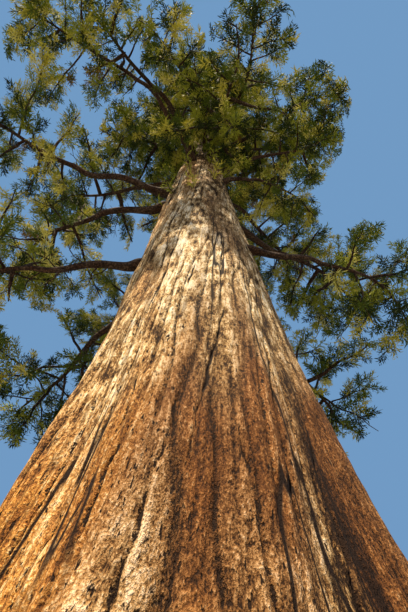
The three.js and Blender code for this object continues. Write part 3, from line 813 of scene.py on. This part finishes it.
def add(tree, kind, inputs, stops=(), out=0, **settings):
    """Adds a node with its links, values and settings and, for a ramp, its stops. Returns one of its outputs."""
    made = tree.nodes.new("ShaderNode" + kind)
    for name, value in settings.items():
        setattr(made, name, value)
    for key, value in inputs.items():
        if isinstance(value, bpy.types.NodeSocket):
            tree.links.new(value, made.inputs[key])
        else:
            made.inputs[key].default_value = value
    for index, (place, code) in enumerate(stops):
        elements = made.color_ramp.elements
        element = elements[index] if index < 2 else elements.new(place)
        element.position, element.color = place, linear(code)
    return made.outputs[out]


def new_material(name, roughness, specular):
    material = bpy.data.materials.new(name)
    material.use_nodes = True
    shader = material.node_tree.nodes["Principled BSDF"]
    shader.inputs["Roughness"].default_value = roughness
    shader.inputs["Specular IOR Level"].default_value = specular
    return material, material.node_tree, shader


# noises in the bark: stretch along the grain, scale, detail and roughness. They are about 1 / scale wide, in
# metres, and longer by the stretch.
BARK_NOISES = dict(
    fibre=(0.4, 110.0, 2.0, 0.65),  # 9 mm by 23 mm, drawn coarser than the real 1 mm so that it shows
    flakes=(0.38, 44.0, 3.0, 0.66),  # 23 mm by 60 mm
    long_streaks=(0.06, 9.0, 6.0, 0.72),  # 0.11 m by 1.9 m, which split into finer ones
    plates=(0.42, 6.5, 4.0, 0.68),  # worn plates, 0.15 m by 0.37 m
    cracks=(0.075, 2.3, 3.0, 0.45),
    cracked=(0.25, 1.0, 2.0, 0.5),  # where there are cracks, patches 1 m by 4 m
    slits=(0.085, 8.0, 3.0, 0.5),
    pits=(0.25, 46.0, 2.0, 0.55),  # gashes where fibre has gone, 22 mm by 87 mm
)
# the warm ramp carries painted sunlight and the pale ramp painted highlight, over the bark's own colours
BARK_COLOURS = dict(
    ruddy=((0.05, "#1C0F08"), (0.4, "#5A3617"), (0.66, "#80552C"), (1.0, "#C09A6E")),
    warm=((0.05, "#3A210C"), (0.36, "#96602A"), (0.62, "#CC9446"), (1.0, "#F8DDA8")),
    pale=((0.1, "#33210F"), (0.36, "#9C7A4A"), (0.6, "#DCC28E"), (0.88, "#FDF1D6")),
    moss=((0.1, "#33351F"), (0.8, "#A6A584")),
)
# near black: the cracks, slits and pits, and the painted shade in the furrows and clefts
CRACK_AND_SHADE_COLOUR = "#1B0F08"
TONE_LEVEL = -1.65  # brings the sum of the streaks to the ramps' range


def sequoia_bark():
    """Giant sequoia bark: soft dry fibre up to half a metre thick, cinnamon to golden, with cream strands standing
    out, dark clefts, and grey-green lichen low on one flank. Light and shade are partly painted into its colour:
    sunlight on the golden side and rib, highlight on the pale upper trunk and the crests, shade in the furrows and
    clefts, and shadow low in the middle and beside the rib."""
    material, tree, shader = new_material("sequoia_bark", 0.93, 0.12)
    grain = add(tree, "Attribute", {}, attribute_name="grain", out="Vector")
    furrow_shade, crest_and_highlight, golden_and_painted_sun, bleached_and_painted_highlight, lichen, painted_shadow_and_stain = (
        add(tree, "Attribute", {}, attribute_name=name, out="Fac")
        for name in ("furrow_shade", "crest_and_highlight", "golden_and_painted_sun", "bleached_and_painted_highlight", "lichen", "painted_shadow_and_stain")
    )
    noises = {}
    for name, (stretch, scale, detail, roughness) in BARK_NOISES.items():
        along = add(tree, "Mapping", {"Vector": grain, "Scale": (1, 1, stretch)})
        values = {"Vector": along, "Scale": scale, "Detail": detail, "Roughness": roughness}
        noises[name] = add(tree, "TexNoise", values)

    # the tone: fibre, flakes and long streaks, lighter on the crests, partly as painted highlight, and darker
    # under the painted shadow and stains
    tone = TONE_LEVEL
    streaks = ((noises["flakes"], 1.5), (noises["fibre"], 1.2), (noises["long_streaks"], 1.2))
    for part, weight in (*streaks, (crest_and_highlight, 0.38), (painted_shadow_and_stain, -0.36)):
        tone = add(tree, "Math", {0: part, 1: weight, 2: tone}, operation="MULTIPLY_ADD")
    # worn plates show most where the bark is bleached and highlight is painted
    plates = add(tree, "Math", {0: noises["plates"], 1: 0.5}, operation="SUBTRACT")
    plainly = add(tree, "Math", {0: bleached_and_painted_highlight, 1: 2.2, 2: 0.6}, operation="MULTIPLY_ADD")
    tone = add(tree, "Math", {0: plates, 1: plainly, 2: tone}, operation="MULTIPLY_ADD")

    colours = {name: add(tree, "ValToRGB", {0: tone}, stops) for name, stops in BARK_COLOURS.items()}
    # ruddy bark, turned warm where golden sunlight is painted, pale where the bark is bleached and highlight is
    # painted, and grey-green with lichen
    body = colours["ruddy"]
    bleach_and_highlight_share = add(tree, "Math", {0: bleached_and_painted_highlight, 1: 0.85}, operation="MULTIPLY")
    for share, name in ((golden_and_painted_sun, "warm"), (bleach_and_highlight_share, "pale"), (lichen, "moss")):
        body = add(tree, "Mix", {0: share, 6: body, 7: colours[name]}, data_type="RGBA", out=2)

    # cracks 10 to 20 mm wide and metres long, and the slits between strands, follow lines where a noise is even
    lines = {}
    for name, half_width in (("cracks", 0.017), ("slits", 0.028)):
        off = add(tree, "Math", {0: noises[name], 1: 0.5}, operation="SUBTRACT")
        off = add(tree, "Math", {0: off}, operation="ABSOLUTE")
        lines[name] = add(tree, "MapRange", {0: off, 1: half_width, 2: half_width * 0.35})
    cracked = add(tree, "MapRange", {0: noises["cracked"], 1: 0.44, 2: 0.55})
    cracks = add(tree, "Math", {0: lines["cracks"], 1: cracked}, operation="MULTIPLY")
    # the slits are faint, and fainter where the bark is ruddy
    faint = add(tree, "MapRange", {0: golden_and_painted_sun, 3: 0.62 * 0.35, 4: 0.62})
    slits = add(tree, "Math", {0: lines["slits"], 1: faint}, operation="MULTIPLY")
    # pits are thickest in the furrows
    pits = add(tree, "Math", {0: furrow_shade, 1: 0.09, 2: noises["pits"]}, operation="MULTIPLY_ADD")
    pits = add(tree, "MapRange", {0: pits, 1: 0.63, 2: 0.69})
    # the furrows of the relief are painted dark as shade, their edges made ragged by the flakes
    ragged = add(tree, "Math", {0: noises["flakes"], 1: 2.2, 2: furrow_shade}, operation="MULTIPLY_ADD")
    cracks_and_painted_shade = add(tree, "MapRange", {0: ragged, 1: 1.46, 2: 1.72})
    for part in (cracks, slits, pits):
        cracks_and_painted_shade = add(tree, "Math", {0: cracks_and_painted_shade, 1: part}, operation="MAXIMUM")
    body = add(tree, "Mix", {0: cracks_and_painted_shade, 6: body, 7: linear(CRACK_AND_SHADE_COLOUR)}, data_type="RGBA", out=2)
    height = add(tree, "Math", {0: cracks_and_painted_shade, 1: -1.2, 2: tone}, operation="MULTIPLY_ADD")
    bump = add(tree, "Bump", {"Height": height, "Strength": 0.8, "Distance": 0.02})
    tree.links.new(body, shader.inputs["Base Color"])
    tree.links.new(bump, shader.inputs["Normal"])
    return material


BOUGH_BROWN = ((0.35, "#120B08"), (0.5, "#2E1F15"), (0.66, "#5E4432"))
BOUGH_GREY = ((0.35, "#17110D"), (0.5, "#3A2F26"), (0.66, "#756453"))


def bough_bark():
    """Bark of boughs and twigs: thinner, ridged along the limb, dark purplish brown with grey, dull."""
    material, tree, shader = new_material("bough_bark", 0.9, 0.2)
    place = add(tree, "TexCoord", {}, out="Object")
    # ridges 40 mm across, and patches of grey 0.33 m across
    ridges = add(tree, "TexNoise", {"Vector": place, "Scale": 25.0, "Detail": 6.0, "Roughness": 0.7})
    patches = add(tree, "TexNoise", {"Vector": place, "Scale": 3.0, "Detail": 2.0})
    brown, grey = (add(tree, "ValToRGB", {0: ridges}, stops) for stops in (BOUGH_BROWN, BOUGH_GREY))
    share = add(tree, "MapRange", {0: patches, 1: 0.4, 2: 0.65})
    body = add(tree, "Mix", {0: share, 6: brown, 7: grey}, data_type="RGBA", out=2)
    bump = add(tree, "Bump", {"Height": ridges, "Strength": 0.8, "Distance": 0.02})
    tree.links.new(body, shader.inputs["Base Color"])
    tree.links.new(bump, shader.inputs["Normal"])
    return material


def needle_green(name, code):
    """Scaly sequoia needles: waxy and slightly shiny. The colour is even over a spray."""
    material, tree, shader = new_material(name, 0.6, 0.08)
    shader.inputs["Base Color"].default_value = linear(code)
    place = add(tree, "TexCoord", {}, out="Object")
    # overlapping scales 8 mm long
    scales = add(tree, "TexNoise", {"Vector": place, "Scale": 120.0, "Detail": 1.0})
    bump = add(tree, "Bump", {"Height": scales, "Strength": 0.5, "Distance": 0.004})
    tree.links.new(bump, shader.inputs["Normal"])
    return material


# ---- The trunk ----

# name, foot and head in metres, columns, rows, and the columns of the band above
TRUNK_BANDS = (
    ("bark_foot", 0.0, 1.4, 640, 30, 640),
    ("bark_lower", 1.4, 5.0, 640, 124, 640),
    ("bark_middle", 5.0, 10.0, 640, 112, 640),
    ("bark_upper", 10.0, 19.0, 640, 100, 320),
    ("bark_crown", 19.0, TRUNK_TOP, 320, 140, 320),
)
bark = sequoia_bark()
for band in TRUNK_BANDS:
    trunk_band(*band, bark)

# ---- The boughs: tapering limbs with a swollen collar and ridged bark ----

BOUGH_SIDES, BOUGH_RINGS = 20, 90
BOUGH_START = -0.12  # the share of its line, inside the trunk, where a bough starts
COLLAR, COLLAR_LENGTH = 0.55, 0.05  # how much a bough swells at the trunk, and over which share of its line
EASE = 0.06  # the share of its line over which its crooks fade out at both ends
BOUGH_CROOK = 0.6  # as a share of its girth


def bough_form(row):
    """One bough as a mesh: a closed tube along its line, knotty and crooked."""
    tube = closed_tube("bough_form", BOUGH_SIDES, BOUGH_RINGS)
    form = read_points(tube)
    x, y, up = form.T
    share = BOUGH_START + (row["bare"] - BOUGH_START) * up
    metres = share * row["reach"]
    rough = noise(np.stack((x * 1.6, y * 1.6 + row["height"], metres * 1.4), -1), 7)
    knots = noise(np.stack((x * 3.5, y * 3.5 + row["height"], metres * 4.0), -1), 13)
    collar = 1 + COLLAR * np.exp(-np.maximum(share, 0) / COLLAR_LENGTH)
    girth = limb_girth(row, share) * collar * (1 + 0.13 * rough + 0.08 * knots)
    girth[up > AT_END] *= 0.9
    level, above = frame_of(limb_way(row, share, 0.004))
    free = np.clip(share / EASE, 0, 1) * np.clip((row["bare"] - share) / EASE, 0, 1)
    aside = np.sin(2.3 * metres + row["height"])[:, None]
    upwards = np.sin(3.7 * metres + row["azimuth"])[:, None]
    crook = (level * aside + above * upwards) * (BOUGH_CROOK * row["girth"] * free)[:, None]
    round_it = (level * x[:, None] + above * y[:, None]) * girth[:, None]
    write_points(tube, limb_line(row, share) + crook + round_it)
    return tube


rows = mass_rows()
shares = np.arange(0, 1.0, 0.03)
limb_points = [(row["name"], limb_line(row, shares), limb_girth(row, shares)) for row in rows]

boughs = bmesh.new()
for row in rows:
    if row["bare"]:
        tube = bough_form(row)
        boughs.from_mesh(tube)
        bpy.data.meshes.remove(tube)
bmesh.ops.recalc_face_normals(boughs, faces=boughs.faces)
bough_mesh = bpy.data.meshes.new("boughs")
boughs.to_mesh(bough_mesh)
boughs.free()
bough_nodes = [f"bough_{row['name']}" for row in rows if row["bare"]]
limb_bark = bough_bark()
add_piece("boughs", bough_mesh, limb_bark, "bough_bark", *bough_nodes)

# ---- The masses of foliage ----

# the first five greens are dealt out by painted light, from shade to sun, over a random spread; the last is old
# needles
GREENS = (
    ("shaded_blue_green", "#2C3A1A"),
    ("deep_green", "#556622"),
    ("sequoia_green", "#8A9230"),
    ("olive_green", "#B7B248"),
    ("young_and_sunlit_yellow_green", "#CFCA6E"),
    ("old_brown_needles", "#735C28"),
)
wood = Growth()
foliage = [Growth() for _ in GREENS]
spaces = [space_of(row) for row in rows]
part_spaces(spaces)
for number, (row, space) in enumerate(zip(rows, spaces)):
    grow_mass(row, number, space, limb_points, wood, foliage)
    if row["bare"]:
        grow_dead_twigs(row, number, wood)
grow_trunk_tufts(wood, foliage)

mass_nodes = [f"foliage_{row['name']}" for row in rows]
MOST_TRIANGLES = 190000


def add_growth(name, growth, smooth, material, slot):
    """Adds a growth as pieces of about MOST_TRIANGLES at most."""
    total = growth.triangles()
    parts = math.ceil(total / MOST_TRIANGLES)
    for part in range(parts):
        share = Growth()
        start = 0
        for points, faces in zip(growth.points, growth.faces):
            if start * parts // total == part:
                share.points.append(points)
                share.faces.append(faces - faces.min() + share.count)
                share.count += len(points)
            start += len(faces)
        piece_name = name if parts == 1 else f"{name}_{part + 1}"
        add_piece(piece_name, share.mesh(piece_name, smooth), material, slot, *mass_nodes)


add_growth("twigs", wood, True, limb_bark, "bough_bark")
for (name, code), growth in zip(GREENS, foliage):
    add_growth(name, growth, False, needle_green(name, code), "foliage")

# ---- Floor, light and camera ----

FLOOR_HALF, FLOOR_GREY = 400, "#7E7B76"
SKY_BLUE, SKY_STRENGTH = "#8FC2F6", 0.6
KEY_AZIMUTH, KEY_HEIGHT = -23, 64  # where it stands, as the tree's azimuths go, and above the horizon
KEY_COLOUR, KEY_STRENGTH, KEY_WIDTH = "#FFEACB", 12.5, 0.6
CAMERA_PLACE = (0, -4.1, 0.94)
CAMERA_TILT, CAMERA_TURN = 58.912, 2.4  # degrees that it looks above level, and to the right
LENS = 24  # mm, on a sensor 36 mm high

floor_bm = bmesh.new()
bmesh.ops.create_grid(floor_bm, x_segments=1, y_segments=1, size=FLOOR_HALF)
floor_mesh = bpy.data.meshes.new("floor")
floor_bm.to_mesh(floor_mesh)
floor_bm.free()
floor = bpy.data.objects.new("floor", floor_mesh)
bpy.context.scene.collection.objects.link(floor)
floor_material, _, floor_shader = new_material("pale_floor", 0.9, 0.2)
floor_shader.inputs["Base Color"].default_value = linear(FLOOR_GREY)
floor_mesh.materials.append(floor_material)

world = bpy.data.worlds.new("studio")
bpy.context.scene.world = world
world.use_nodes = True
sky = world.node_tree.nodes["Background"]
sky.inputs[0].default_value = linear(SKY_BLUE)
sky.inputs[1].default_value = SKY_STRENGTH

key = bpy.data.lights.new("key", "SUN")
key.energy = KEY_STRENGTH
key.color = linear(KEY_COLOUR)[:3]
key.angle = math.radians(KEY_WIDTH)
key_object = bpy.data.objects.new("key", key)
bpy.context.scene.collection.objects.link(key_object)
key_object.rotation_euler = (math.radians(90 - KEY_HEIGHT), 0, math.radians(KEY_AZIMUTH))

camera_data = bpy.data.cameras.new("camera")
camera_data.lens = LENS
camera_data.sensor_width = 36
camera_data.clip_start, camera_data.clip_end = 0.05, 500
camera = bpy.data.objects.new("camera", camera_data)
bpy.context.scene.collection.objects.link(camera)
camera.location = CAMERA_PLACE
camera.rotation_euler = (math.radians(90 + CAMERA_TILT), 0, math.radians(-CAMERA_TURN))
bpy.context.scene.camera = camera

bpy.context.scene.view_settings.view_transform = "Standard"

bpy.context.view_layer.update()
